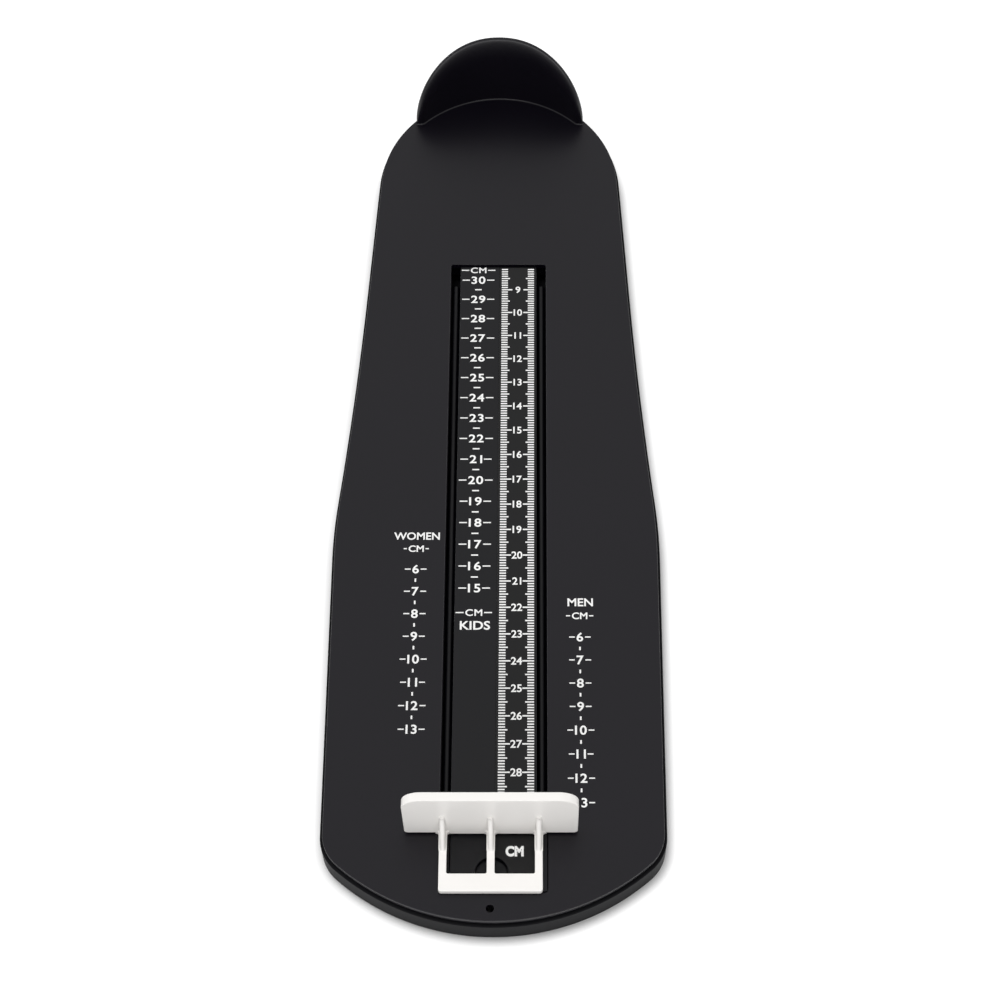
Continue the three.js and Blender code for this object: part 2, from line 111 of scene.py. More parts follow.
table_half = 6.0
table_white = 0.8
table_lift = 0.44
# Within this reach of the device the table's glow fades out: a painted contact shadow, deeper than the one
# the lamps cast.
painted_shadow_reach = 5 * mm
painted_shadow_full_at = 0.55
painted_shadow_clear_at = 0.95
table_mesh = bpy.data.meshes.new("table")
table_corners = [(-1, -1), (1, -1), (1, 1), (-1, 1)]
table_mesh.from_pydata([(x * table_half, y * table_half, 0) for x, y in table_corners], [], [(0, 1, 2, 3)])
table = bpy.data.objects.new("table", table_mesh)
bpy.context.collection.objects.link(table)

table_material = bpy.data.materials.new("white_table")
table_material.use_nodes = True
table_tree = table_material.node_tree
table_tree.nodes.remove(table_tree.nodes["Principled BSDF"])
table_diffuse = add_node(
    table_tree, "ShaderNodeBsdfDiffuse", {"Color": (table_white, table_white, table_white, 1)}
)
# How closed in the table is near the device sets its glow: where it is closed in, the glow fades to nothing,
# which paints a dark contact shadow round the device.
table_open = add_node(table_tree, "ShaderNodeAmbientOcclusion", {"Distance": painted_shadow_reach})
table_glow_with_painted_shadow = add_node(
    table_tree,
    "ShaderNodeMapRange",
    {
        "Value": table_open.outputs["AO"],
        "From Min": painted_shadow_full_at,
        "From Max": painted_shadow_clear_at,
        "To Max": table_lift,
    },
)
table_glow = add_node(
    table_tree,
    "ShaderNodeEmission",
    {"Strength": maths(table_tree, "MULTIPLY", seen_directly(table_tree), table_glow_with_painted_shadow.outputs[0])},
)
table_shaders = {0: table_diffuse.outputs[0], 1: table_glow.outputs[0]}
table_sum = add_node(table_tree, "ShaderNodeAddShader", table_shaders)
table_tree.links.new(table_sum.outputs[0], table_tree.nodes["Material Output"].inputs["Surface"])
table_mesh.materials.append(table_material)


def soft_lamp(name, place, width, height, power, in_gloss=True):
    """A lamp that looks at the middle of the device, and shows in glossy surfaces or doesn't."""
    data = bpy.data.lights.new(name, "AREA")
    data.shape = "RECTANGLE"
    data.size = width
    data.size_y = height
    data.energy = power
    lamp = bpy.data.objects.new(name, data)
    lamp.location = place
    lamp.rotation_euler = (-Vector(place)).to_track_quat("-Z", "Y").to_euler()
    lamp.visible_glossy = in_gloss
    bpy.context.collection.objects.link(lamp)


soft_lamp("key_lamp", (-0.16, -0.02, 1.15), width=0.35, height=0.35, power=4.9, in_gloss=False)
soft_lamp("left_lamp", (-0.95, 0.55, 0.5), width=0.5, height=0.12, power=2.0)
soft_lamp("right_lamp", (0.95, 0.55, 0.5), width=0.5, height=0.12, power=1.8)
soft_lamp("front_lamp", (0.0, -1.1, 0.5), width=1.0, height=0.15, power=4.2)

# Lower shell
# A shallow tray moulded in black ABS with a fine spark-eroded grain: floor, rim wall, ribs that
# carry the scale plate, and a boss with a sunk seat for each screw that comes up from below.
tray_low, tray_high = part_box("base_tray")
plate_low, plate_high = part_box("scale_plate")
deck_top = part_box("top_deck")[1].z
gap = 0.3 * mm
heel_radius = 45.3 * mm
heel_flare = 3.5
waist_half = 53.9 * mm
waist_y = 0.0
waist_flare = 5.6
forefoot_half = tray_high.x
forefoot_y = -36 * mm
toe_half = 56.1 * mm
nose_radius = 77.4 * mm
nose_corner = 15 * mm
side_fullness = 0.4
heel_centre_y = tray_high.y - heel_radius
nose_centre_y = tray_low.y + nose_radius


def arc(x, y, radius, start, end, step=1.5):
    """Points on an arc from one angle to another, in degrees, with its last point left out."""
    count = max(1, round(abs(end - start) / step))
    angles = [math.radians(start + (end - start) * index / count) for index in range(count)]
    return [(x + radius * math.cos(angle), y + radius * math.sin(angle)) for angle in angles]


def bend(first, second, third, fourth, count=20):
    """Points on a cubic curve with its four handles, with its last point left out."""
    points = []
    for t in (index / count for index in range(count)):
        shares = ((1 - t) ** 3, 3 * t * (1 - t) ** 2, 3 * t ** 2 * (1 - t), t ** 3)
        handles = (first, second, third, fourth)
        points.append(tuple(sum(s * h[axis] for s, h in zip(shares, handles)) for axis in (0, 1)))
    return points


def body_outline():
    """The body seen from above, counterclockwise, starting at the tip of the nose."""
    heel_turn = math.radians(heel_flare)
    waist_turn = math.radians(waist_flare)
    heel_end = (heel_radius * math.cos(heel_turn), heel_centre_y + heel_radius * math.sin(heel_turn))
    flare = (heel_end[1] - waist_y) * side_fullness
    round_off = (waist_y - forefoot_y) * side_fullness
    corner_x = toe_half - nose_corner
    corner_sweep = math.degrees(math.acos(corner_x / (nose_radius - nose_corner)))
    corner_y = nose_centre_y - (nose_radius - nose_corner) * math.sin(math.radians(corner_sweep))
    half = arc(0, heel_centre_y, heel_radius, 90, heel_flare)
    half += bend(
        heel_end,
        (heel_end[0] + flare * math.tan(heel_turn), heel_end[1] - flare),
        (waist_half - flare * math.tan(waist_turn), waist_y + flare),
        (waist_half, waist_y),
    )
    half += bend(
        (waist_half, waist_y),
        (waist_half + round_off * math.tan(waist_turn), waist_y - round_off),
        (forefoot_half, forefoot_y + round_off),
        (forefoot_half, forefoot_y),
    )
    half += [(forefoot_half, forefoot_y)]
    half += arc(corner_x, corner_y, nose_corner, 0, -corner_sweep)
    half += arc(0, nose_centre_y, nose_radius, -corner_sweep, -90)
    half += [(0, tray_low.y)]
    return half[::-1] + [(-x, y) for x, y in half[1:-1]]


outline = body_outline()


def inset(points, distance):
    """An outline moved inwards by the same distance everywhere."""
    moved = []
    for index, point in enumerate(points):
        before = Vector(point) - Vector(points[index - 1])
        after = Vector(points[(index + 1) % len(points)]) - Vector(point)
        inward = before.normalized().orthogonal()
        mitre = (inward + after.normalized().orthogonal()).normalized()
        moved.append(tuple(Vector(point) + mitre * (distance / mitre.dot(inward))))
    return moved


def half_width(y):
    """Half the width of the body at one place along it."""
    right = [point for point in outline if point[0] >= 0]
    high = min((point for point in right if point[1] >= y), key=lambda point: point[1])
    low = max((point for point in right if point[1] < y), key=lambda point: point[1])
    return low[0] + (high[0] - low[0]) * (y - low[1]) / (high[1] - low[1])


def at_height(points, z):
    """An outline as points in space."""
    return [(x, y, z) for x, y in points]


def skin(rings):
    """Points and faces of a closed solid through rings of equally many points, lowest first."""
    count = len(rings[0])
    points = [point for ring in rings for point in ring]
    faces = [tuple(range(count))[::-1], tuple(range(len(points) - count, len(points)))]
    for start in range(0, len(points) - count, count):
        for index in range(count):
            after = (index + 1) % count
            faces.append((start + index, start + after, start + count + after, start + count + index))
    return points, faces


def quarter(radius, steps=4):
    """Places along a quarter round, as distances in from the side and down from the top."""
    if not radius:
        return [(0.0, 0.0)]
    turns = [math.radians(90 * index / steps) for index in range(steps + 1)]
    return [(radius * (1 - math.cos(turn)), radius * (1 - math.sin(turn))) for turn in turns]


def slab(outline_at, bottom, top, round_below=0.0, round_above=0.0):
    """A flat solid with round edges. outline_at(d) is its outline moved inwards by d."""
    rings = [at_height(outline_at(d), bottom + up) for d, up in quarter(round_below)[::-1]]
    rings += [at_height(outline_at(d), top - down) for d, down in quarter(round_above)]
    return skin(rings)


def rectangle(x0, x1, y0, y1):
    """A plain rectangle, counterclockwise, whose places across may come in either order."""
    low, high = sorted((x0, x1))
    return [(low, y0), (high, y0), (high, y1), (low, y1)]


def bar(x0, x1, y0, y1, bottom, top):
    """A plain box."""
    return slab(lambda d: rectangle(x0, x1, y0, y1), bottom, top)


def post(x, y, radius, bottom, top, step=7.5):
    """An upright round bar."""
    return slab(lambda d: arc(x, y, radius, 0, 360, step), bottom, top)


cut_past = 1 * mm


def cutter(widened_by, bottom, top, lip_below=0.0, lip_above=0.0):
    """A tool for an upright hole. It flares to a round lip at an end that has one, and runs on past it."""
    rings = [at_height(widened_by(lip_below), bottom - cut_past)] if lip_below else []
    rings += [at_height(widened_by(d), bottom + up) for d, up in quarter(lip_below)[::-1]]
    rings += [at_height(widened_by(d), top - down) for d, down in quarter(lip_above)]
    rings += [at_height(widened_by(lip_above), top + cut_past)] if lip_above else []
    return skin(rings)


def drill(x, y, radius, bottom, top, lip_below=0.0, lip_above=0.0):
    """A tool for a round hole."""
    return cutter(lambda d: arc(x, y, radius + d, 0, 360, 6), bottom, top, lip_below, lip_above)


def loose_piece(name, solid):
    """An object from points and faces, not yet finished."""
    mesh = bpy.data.meshes.new(name)
    mesh.from_pydata(solid[0], [], solid[1])
    piece = bpy.data.objects.new(name, mesh)
    bpy.context.collection.objects.link(piece)
    return piece


def as_mesh(piece):
    """What an object's modifiers make of it, as a plain mesh."""
    return bpy.data.meshes.new_from_object(piece.evaluated_get(bpy.context.evaluated_depsgraph_get()))


def carved(name, body, adds=(), cuts=()):
    """A piece from one closed solid, with others joined to it and then holes cut from it."""
    piece = loose_piece(name, body)
    tools = []
    for operation, solids in (("UNION", adds), ("DIFFERENCE", cuts)):
        for solid in solids:
            tools.append(loose_piece("tool", solid))
            step = piece.modifiers.new(operation, "BOOLEAN")
            step.operation = operation
            step.solver = "MANIFOLD"
            step.object = tools[-1]
    shaped = as_mesh(piece)
    piece.modifiers.clear()
    piece.data = shaped
    for tool in tools:
        bpy.data.objects.remove(tool)
    return piece


def solid_of(piece):
    """The points and faces of a piece, which is then taken apart."""
    solid = ([tuple(v.co) for v in piece.data.vertices], [tuple(p.vertices) for p in piece.data.polygons])
    bpy.data.objects.remove(piece)
    return solid


sharp_from = math.radians(32)
flat_within = math.radians(0.05)


def finish_piece(piece, material, body, nodes=()):
    """Shades a piece smooth up to its sharp corners, gives it its material and body, and hides the CAD nodes
    it stands in for.
    """
    edit = bmesh.new()
    edit.from_mesh(piece.data)
    bmesh.ops.dissolve_limit(edit, angle_limit=flat_within, verts=edit.verts, edges=edit.edges)
    for face in edit.faces:
        face.smooth = True
    for edge in edit.edges:
        edge.smooth = len(edge.link_faces) == 2 and edge.calc_face_angle() < sharp_from
    edit.to_mesh(piece.data)
    edit.free()
    weighted = piece.modifiers.new("Even shading", "WEIGHTED_NORMAL")
    weighted.keep_sharp = True
    piece.data.materials.clear()
    piece.data.materials.append(material)
    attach(piece, body)
    if nodes:
        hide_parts(*nodes)
    return piece


patch_scale = 22.0
gloss_change = 0.04


def moulded_plastic(name, colour, roughness, specular, grain_size, grain_depth, shade_change=0.12):
    """Plastic with a fine grain, and faint uneven patches in its colour and gloss."""
    material = bpy.data.materials.new(name)
    material.use_nodes = True
    tree = material.node_tree
    shader = tree.nodes["Principled BSDF"]
    place = add_node(tree, "ShaderNodeTexCoord").outputs["Object"]
    grain = add_node(
        tree,
        "ShaderNodeTexNoise",
        {"Vector": place, "Scale": 1 / grain_size, "Detail": 2.0, "Roughness": 0.6},
    )
    patches = add_node(tree, "ShaderNodeTexNoise", {"Vector": place, "Scale": patch_scale, "Detail": 3.0})
    bump = add_node(
        tree, "ShaderNodeBump", {"Height": grain.outputs["Fac"], "Distance": grain_depth, "Strength": 0.5}
    )
    gloss = add_node(
        tree,
        "ShaderNodeMapRange",
        {
            "Value": patches.outputs["Fac"],
            "To Min": roughness - gloss_change,
            "To Max": roughness + gloss_change,
        },
    )
    tint = add_node(
        tree,
        "ShaderNodeMapRange",
        {"Value": patches.outputs["Fac"], "To Min": 1 - shade_change, "To Max": 1 + shade_change},
    )
    shade = add_node(tree, "ShaderNodeVectorMath", {0: colour, "Scale": tint.outputs[0]}, operation="SCALE")
    tree.links.new(shade.outputs[0], shader.inputs["Base Color"])
    tree.links.new(gloss.outputs[0], shader.inputs["Roughness"])
    tree.links.new(bump.outputs[0], shader.inputs["Normal"])
    shader.inputs["Specular IOR Level"].default_value = specular
    return material


black_abs = moulded_plastic("black_abs", (0.0016, 0.001, 0.0032), 0.32, 0.31, 0.35 * mm, 0.01 * mm)
tray_black = moulded_plastic("tray_black", (0.008, 0.008, 0.009), 0.45, 0.028, 0.4 * mm, 0.02 * mm)

rim_top = tray_high.z
floor_top = tray_low.z + 2 * mm
tray_wall = 2.4 * mm
rim_round = 0.4 * mm
bottom_round = 0.5 * mm
floor_fillet = 0.8 * mm
scale_half = 14 * mm
groove_width = 3.4 * mm
channel_half = scale_half + groove_width
channel_near_y = tray_low.y + 10.5 * mm
channel_far_y = tray_high.y - 81.7 * mm
track_overlap = 2.4 * mm
plate_wall = 1.6 * mm
plate_skin = 2.2 * mm
cup_foot_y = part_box("heel_cup")[0].y
rib_thickness = 1.4 * mm
carrier_half = 0.75 * mm
rib_count = 6
boss_top = 6.0 * mm
boss_radius = 4.8 * mm
head_hole = 3.3 * mm
shank_hole = 1.6 * mm
pilot_step = 15
head_seat = 4.4 * mm
foot_low, foot_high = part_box("rubber_foot_1")
foot_radius = (foot_high.x - foot_low.x) / 2
hang_hole = 1.25 * mm
hang_hole_x = -0.9 * mm
hang_hole_y = tray_low.y + 5.2 * mm
hole_lip = 0.3 * mm
rib_pitch = (cup_foot_y - channel_near_y) / (rib_count + 1)
rib_ys = [channel_near_y + rib_pitch * (index + 1) for index in range(rib_count)]


def centre_of(node):
    """Where a CAD node stands, seen from above."""
    low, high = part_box(node)
    return (low.x + high.x) / 2, (low.y + high.y) / 2


case_screws = [f"case_screw_{index}" for index in range(1, 11)]
cup_screws = [f"cup_screw_{index}" for index in range(1, 4)]
rubber_feet = [f"rubber_foot_{index}" for index in range(1, 7)]
case_screw_places = [centre_of(name) for name in case_screws]
cup_screw_places = [centre_of(name) for name in cup_screws]
screw_places = case_screw_places + cup_screw_places
foot_places = [centre_of(name) for name in rubber_feet]


def tray_shell():
    """The tray's skin, up its outside, over the rim and down to the inner floor."""
    path = [(d, tray_low.z + up) for d, up in quarter(bottom_round)[::-1]]
    path += [(d, rim_top - down) for d, down in quarter(rim_round)]
    path += [(tray_wall - d, rim_top - down) for d, down in quarter(rim_round)[::-1]]
    path += [(tray_wall + d, floor_top + up) for d, up in quarter(floor_fillet)]
    return skin([at_height(inset(outline, across), z) for across, z in path])


rib_foot = floor_top - gap
tray_parts = [post(x, y, boss_radius, rib_foot, boss_top) for x, y in screw_places]
for y in rib_ys:
    reach = half_width(y) - tray_wall / 2
    near, far = y - rib_thickness / 2, y + rib_thickness / 2
    tray_parts.append(bar(-reach, reach, near, far, rib_foot, boss_top - gap))
for x in (scale_half - plate_wall / 2, channel_half + 2 * carrier_half):
    for side in (-1, 1):
        near, far = channel_near_y - track_overlap / 2, channel_far_y + track_overlap / 2
        tray_parts.append(
            bar(side * x - carrier_half, side * x + carrier_half, near, far, rib_foot, plate_low.z)
        )
keel_end = plate_wall + 2 * gap
keel_top = plate_high.z - plate_skin
keel_near, keel_far = channel_near_y + keel_end, channel_far_y - keel_end
tray_parts.append(bar(-carrier_half, carrier_half, keel_near, keel_far, rib_foot, keel_top))
tray_holes = [drill(x, y, head_hole, tray_low.z, head_seat, hole_lip) for x, y in screw_places]
tray_holes += [post(x, y, shank_hole, 0, deck_top, pilot_step) for x, y in screw_places]
tray_holes += [drill(x, y, foot_radius + gap, tray_low.z, foot_high.z, hole_lip) for x, y in foot_places]
tray_holes.append(drill(hang_hole_x, hang_hole_y, hang_hole + gap, tray_low.z, rim_top, hole_lip))
lower_shell = carved("lower_shell", tray_shell(), tray_parts, tray_holes)
finish_piece(lower_shell, tray_black, "base", ["base_tray"])

# Rubber feet
# Six turned discs of soft black rubber, each pressed into a pocket under the tray.
# Their lower edges are rounded, and the device stands on their flat faces.


def new_rule(name, sizes):
    """An empty Geometry Nodes tree with named sizes as inputs, and the sockets that carry them."""
    tree = bpy.data.node_groups.new(name, "GeometryNodeTree")
    tree.interface.new_socket("Geometry", in_out="INPUT", socket_type="NodeSocketGeometry")
    for size in sizes:
        tree.interface.new_socket(size, in_out="INPUT", socket_type="NodeSocketFloat")
    tree.interface.new_socket("Geometry", in_out="OUTPUT", socket_type="NodeSocketGeometry")
    return tree, tree.nodes.new("NodeGroupInput").outputs


def end_rule(tree, geometry, material):
    """Ends a tree with real geometry in its material."""
    real = add_node(tree, "GeometryNodeRealizeInstances", {"Geometry": geometry})
    dressed = add_node(tree, "GeometryNodeSetMaterial", {"Geometry": real.outputs[0], "Material": material})
    tree.links.new(dressed.outputs[0], tree.nodes.new("NodeGroupOutput").inputs[0])


def grown(name, tree, sizes, places):
    """The plain mesh that a tree grows on a list of places."""
    piece = loose_piece(name, (places, []))
    growth = piece.modifiers.new("Growth", "NODES")
    growth.node_group = tree
    for socket in tree.interface.items_tree:
        if socket.name in sizes:
            growth[socket.identifier] = float(sizes[socket.name])
    shaped = as_mesh(piece)
    piece.modifiers.clear()
    piece.data = shaped
    return piece


def by_step(tree, values):
    """A number for each step along a line, as a field."""
    switch = add_node(tree, "GeometryNodeIndexSwitch", data_type="FLOAT")
    while len(switch.index_switch_items) < len(values):
        switch.index_switch_items.new()
    tree.links.new(add_node(tree, "GeometryNodeInputIndex").outputs[0], switch.inputs[0])
    for step, value in enumerate(values):
        if isinstance(value, bpy.types.NodeSocket):
            tree.links.new(value, switch.inputs[step + 1])
        else:
            switch.inputs[step + 1].default_value = value
    return switch.outputs[0]


def turned(tree, profile, sides):
    """A solid as from a lathe: a ring swept up its axis, through pairs of radius and height."""
    line = add_node(tree, "GeometryNodeMeshLine", {"Count": len(profile)})
    axis = add_node(tree, "GeometryNodeMeshToCurve", {"Mesh": line.outputs[0]})
    height = add_node(tree, "ShaderNodeCombineXYZ", {"Z": by_step(tree, [pair[1] for pair in profile])})
    placed = add_node(
        tree, "GeometryNodeSetPosition", {"Geometry": axis.outputs[0], "Position": height.outputs[0]}
    )
    ring = add_node(tree, "GeometryNodeCurvePrimitiveCircle", {"Resolution": sides, "Radius": 1.0})
    swept = add_node(
        tree,
        "GeometryNodeCurveToMesh",
        {
            "Curve": placed.outputs[0],
            "Profile Curve": ring.outputs[0],
            "Scale": by_step(tree, [pair[0] for pair in profile]),
            "Fill Caps": True,
        },
    )
    return swept.outputs[0]


foot_rubber = moulded_plastic("foot_rubber", (0.012, 0.012, 0.012), 0.85, 0.2, 0.6 * mm, 0.03 * mm, 0.3)
foot_tree, foot_size = new_rule("rubber_foot", ["Radius", "Height", "Edge"])
foot_edge = foot_size["Edge"]
foot_corner = 0.3
foot_sides = 48
foot_profile = [
    (maths(foot_tree, "SUBTRACT", foot_size["Radius"], foot_edge), 0.0),
    (
        maths(foot_tree, "MULTIPLY_ADD", foot_edge, -foot_corner, foot_size["Radius"]),
        maths(foot_tree, "MULTIPLY", foot_edge, foot_corner),
    ),
    (foot_size["Radius"], foot_edge),
    (foot_size["Radius"], foot_size["Height"]),
]
foot_copies = add_node(
    foot_tree,
    "GeometryNodeInstanceOnPoints",
    {"Points": foot_size["Geometry"], "Instance": turned(foot_tree, foot_profile, foot_sides)},
)
end_rule(foot_tree, foot_copies.outputs[0], foot_rubber)
feet = grown(
    "rubber_feet",
    foot_tree,
    {"Radius": foot_radius, "Height": foot_high.z, "Edge": 0.5 * mm},
    [(x, y, 0) for x, y in foot_places],
)
finish_piece(feet, foot_rubber, "base", rubber_feet)

# Screws
# Zinc-plated self-tapping screws with round heads and a cross recess. They go up through the
# tray's bosses, ten into the upper shell and three into the foot of the heel cup.


def plated_steel():
    """Zinc plate: pale metal, a little blue, with dull spots."""
    material = bpy.data.materials.new("zinc_steel")
    material.use_nodes = True
    tree = material.node_tree
    shader = tree.nodes["Principled BSDF"]
    place = add_node(tree, "ShaderNodeTexCoord").outputs["Object"]
    spots = add_node(tree, "ShaderNodeTexNoise", {"Vector": place, "Scale": 1500.0, "Detail": 4.0})
    gloss = add_node(
        tree, "ShaderNodeMapRange", {"Value": spots.outputs["Fac"], "To Min": 0.24, "To Max": 0.5}
    )
    tint = add_node(
        tree,
        "ShaderNodeMix",
        {"Factor": spots.outputs["Fac"], 6: (0.5, 0.52, 0.55, 1), 7: (0.7, 0.7, 0.68, 1)},
        data_type="RGBA",
    )
    tree.links.new(tint.outputs[2], shader.inputs["Base Color"])
    tree.links.new(gloss.outputs[0], shader.inputs["Roughness"])
    shader.inputs["Metallic"].default_value = 1.0
    return material


zinc_steel = plated_steel()
screw_tree, screw_size = new_rule(
    "self_tapping_screw",
    ["Length", "Head radius", "Head height", "Shank radius", "Tip", "Thread", "Pitch", "Slot", "Slot depth"],
)
head = screw_size["Head radius"]
head_height = screw_size["Head height"]
shank = screw_size["Shank radius"]
shank_end = maths(screw_tree, "SUBTRACT", screw_size["Length"], screw_size["Tip"])
sliver = 0.02 * mm
head_dome = [(0.62, 1.0), (0.82, 0.9), (0.95, 0.66), (1.0, 0.36)]
tip_share = 0.15
screw_sides = 32
thread_steps = 16
screw_profile = [
    (maths(screw_tree, "MULTIPLY", head, across), maths(screw_tree, "MULTIPLY", head_height, -down))
    for across, down in head_dome
]
screw_profile += [(head, -sliver), (shank, 0.0), (shank, shank_end)]
screw_profile += [(maths(screw_tree, "MULTIPLY", shank, tip_share), screw_size["Length"])]
thread_length = maths(screw_tree, "SUBTRACT", shank_end, screw_size["Pitch"])
thread_path = add_node(
    screw_tree,
    "GeometryNodeCurveSpiral",
    {
        "Resolution": thread_steps,
        "Rotations": maths(screw_tree, "DIVIDE", thread_length, screw_size["Pitch"]),
        "Start Radius": shank,
        "End Radius": shank,
        "Height": thread_length,
    },
)
thread_upright = add_node(
    screw_tree, "GeometryNodeSetCurveNormal", {"Curve": thread_path.outputs[0]}, mode="Z_UP"
)
thread_section = add_node(
    screw_tree, "GeometryNodeCurvePrimitiveCircle", {"Resolution": 3, "Radius": screw_size["Thread"]}
)
thread = add_node(
    screw_tree,
    "GeometryNodeCurveToMesh",
    {"Curve": thread_upright.outputs[0], "Profile Curve": thread_section.outputs[0], "Fill Caps": True},
)
thread_up = add_node(screw_tree, "ShaderNodeCombineXYZ", {"Z": screw_size["Thread"]})
thread_placed = add_node(
    screw_tree, "GeometryNodeTransform", {"Geometry": thread.outputs[0], "Translation": thread_up.outputs[0]}
)
threaded = add_node(screw_tree, "GeometryNodeMeshBoolean", operation="UNION", solver="MANIFOLD")
screw_tree.links.new(turned(screw_tree, screw_profile, screw_sides), threaded.inputs["Mesh 2"])
screw_tree.links.new(thread_placed.outputs[0], threaded.inputs["Mesh 2"])
slotted = add_node(
    screw_tree,
    "GeometryNodeMeshBoolean",
    {"Mesh 1": threaded.outputs[0]},
    operation="DIFFERENCE",
    solver="MANIFOLD",
)
slot_place = add_node(
    screw_tree, "ShaderNodeCombineXYZ", {"Z": maths(screw_tree, "MULTIPLY", head_height, -1.0)}
)
for along, across in (("X", "Y"), ("Y", "X")):
    slot_box = add_node(
        screw_tree,
        "ShaderNodeCombineXYZ",
        {
            along: maths(screw_tree, "MULTIPLY", head, 1.1),
            across: screw_size["Slot"],
            "Z": maths(screw_tree, "MULTIPLY", screw_size["Slot depth"], 2.0),
        },
    )
    slot_cut = add_node(screw_tree, "GeometryNodeMeshCube", {"Size": slot_box.outputs[0]})
    slot_placed = add_node(
        screw_tree,
        "GeometryNodeTransform",
        {"Geometry": slot_cut.outputs[0], "Translation": slot_place.outputs[0]},
    )
    screw_tree.links.new(slot_placed.outputs[0], slotted.inputs["Mesh 2"])
screw_turn = add_node(screw_tree, "FunctionNodeRandomValue", {3: math.pi, "Seed": 7}, data_type="FLOAT")
screw_turned = add_node(screw_tree, "ShaderNodeCombineXYZ", {"Z": screw_turn.outputs[1]})
screw_copies = add_node(
    screw_tree,
    "GeometryNodeInstanceOnPoints",
    {
        "Points": screw_size["Geometry"],
        "Instance": slotted.outputs[0],
        "Rotation": screw_turned.outputs[0],
    },
)
end_rule(screw_tree, screw_copies.outputs[0], zinc_steel)

for name, nodes, places in (
    ("case_screws", case_screws, case_screw_places),
    ("cup_screws", cup_screws, cup_screw_places),
):
    screws = grown(
        name,
        screw_tree,
        {
            "Length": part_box(nodes[0])[1].z - head_seat,
            "Head radius": 2.8 * mm,
            "Head height": 1.8 * mm,
            "Shank radius": 1.1 * mm,
            "Tip": 1.2 * mm,
            "Thread": 0.4 * mm,
            "Pitch": 1.1 * mm,
            "Slot": 0.7 * mm,
            "Slot depth": 1.1 * mm,
        },
        [(x, y, head_seat) for x, y in places],
    )
    finish_piece(screws, zinc_steel, "base", nodes)

# Heel cup
# An upright wall of black ABS, curved round the heel, whose crest falls in one curve to both ends.
# Its foot plate lies under the deck, and three screws pull it down onto the tray.
cup_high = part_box("heel_cup")[1]
deck_under = 11.8 * mm
cup_inner_radius = 41.1 * mm
cup_outer_radius = 43.8 * mm
cup_front_y = 150.5 * mm
cup_half_width = 31.9 * mm
cup_curve = 2.3
cup_outer_round = 0.3 * mm
cup_round_share = 0.15
cup_thinning = 0.85
cup_thinned_depth = 10 * mm
seam_lip = 0.15 * mm
foot_fillet = gap + seam_lip
cup_steps = 120
lean_steps = 12
small_turn = 0.05
corner_blend = 0.5 * mm
cup_plate_top = deck_under - gap
cup_plate_under = cup_plate_top - 2 * mm
tongue_inset = tray_wall + gap
pillar_radius = 3.4 * mm
cup_plate_skin = 1 * mm
cup_pilot_top = cup_plate_top - cup_plate_skin


def crest(turn):
    """A place on the crest seen from the front, for a turn from 0 at the right end to 180."""
    across = math.cos(math.radians(turn))
    up = max(0.0, math.sin(math.radians(turn)))
    x = math.copysign(abs(across) ** (2 / cup_curve), across) * cup_half_width
    return Vector((x, plate_high.z + (cup_high.z - plate_high.z) * up ** (2 / cup_curve)))


def cup_inner_y(x):
    """How far back the wall's inner face lies: on its radius, and cut off flat at the cup's front."""
    over = heel_centre_y + math.sqrt(cup_inner_radius ** 2 - x ** 2) - cup_front_y
    return cup_front_y + (over + math.sqrt(over ** 2 + corner_blend ** 2)) / 2


def cup_outer_y(x):
    """How far back the wall's outer face lies."""
    return heel_centre_y + math.sqrt(cup_outer_radius ** 2 - x ** 2)


def cup_slice(turn):
    """The wall's section under one place on the crest, which it leans out to on its inner side."""
    middle = crest(turn)
    along = crest(min(turn + small_turn, 180)) - crest(max(turn - small_turn, 0))
    inward = along.normalized().orthogonal()
    thickness = cup_outer_y(middle.x) - cup_inner_y(middle.x)
    rise = (middle.y - plate_high.z) / (cup_high.z - plate_high.z)
    lean = cup_thinning * thickness
    depth = max(lean, cup_thinned_depth * rise)
    face = []
    for across, down in quarter(1.0, lean_steps):
        place = middle + inward * down * depth
        face.append((place.x, cup_inner_y(place.x) + across * lean, place.y))
    for across, down in quarter(min(cup_outer_round, cup_round_share * thickness))[::-1]:
        place = middle + inward * down
        face.append((place.x, cup_outer_y(place.x) - across, place.y))
    return [(*face[0][:2], deck_under)] + face + [(*face[-1][:2], deck_under)]


def cup_wall():
    """The wall from its right end over the crest to its left end."""
    slices = [cup_slice(180 * index / cup_steps) for index in range(cup_steps + 1)]
    ends = []
    for end in (slices[0], slices[-1]):
        ends.append([end[0]] + [(x, y, deck_under + gap) for x, y, z in end[1:-1]] + [end[-1]])
    return skin([ends[0]] + slices + [ends[1]])


def cup_fillet():
    """The hollow fillet at the foot of the wall's inner face, from its right end to its left."""
    turns = [math.radians(180 * index / cup_steps) for index in range(cup_steps + 1)]
    places = [cup_half_width * math.cos(turn) for turn in turns]
    line = [Vector((x, cup_inner_y(x))) for x in places]
    rings = []
    for index, foot in enumerate(line):
        along = line[min(index + 1, cup_steps)] - line[max(index - 1, 0)]
        inward = along.normalized().orthogonal()
        section = [(-gap, deck_top - sliver), (foot_fillet, deck_top - sliver)]
        section += [(across, deck_top + up) for across, up in quarter(foot_fillet)[::-1]]
        section += [(-gap, deck_top + foot_fillet)]
        rings.append([(*(foot + inward * across), z) for across, z in section])
    return skin(rings)


def round_the_heel(inner, outer, front):
    """A band between two radii, behind a place along the body."""
    inner_start, outer_start = (math.degrees(math.asin((front - heel_centre_y) / r)) for r in (inner, outer))
    band = arc(0, heel_centre_y, outer, outer_start, 180 - outer_start)
    band += [(-outer * math.cos(math.radians(outer_start)), front)]
    band += arc(0, heel_centre_y, inner, 180 - inner_start, inner_start)
    return band + [(inner * math.cos(math.radians(inner_start)), front)]


def cup_plate_outline(d):
    """The foot plate: the end of the body inside the rim, cut off square in front of the cup."""
    back = [point for point in inset(outline, tongue_inset) if point[1] > cup_foot_y]
    return [(back[0][0], cup_foot_y)] + back + [(back[-1][0], cup_foot_y)]


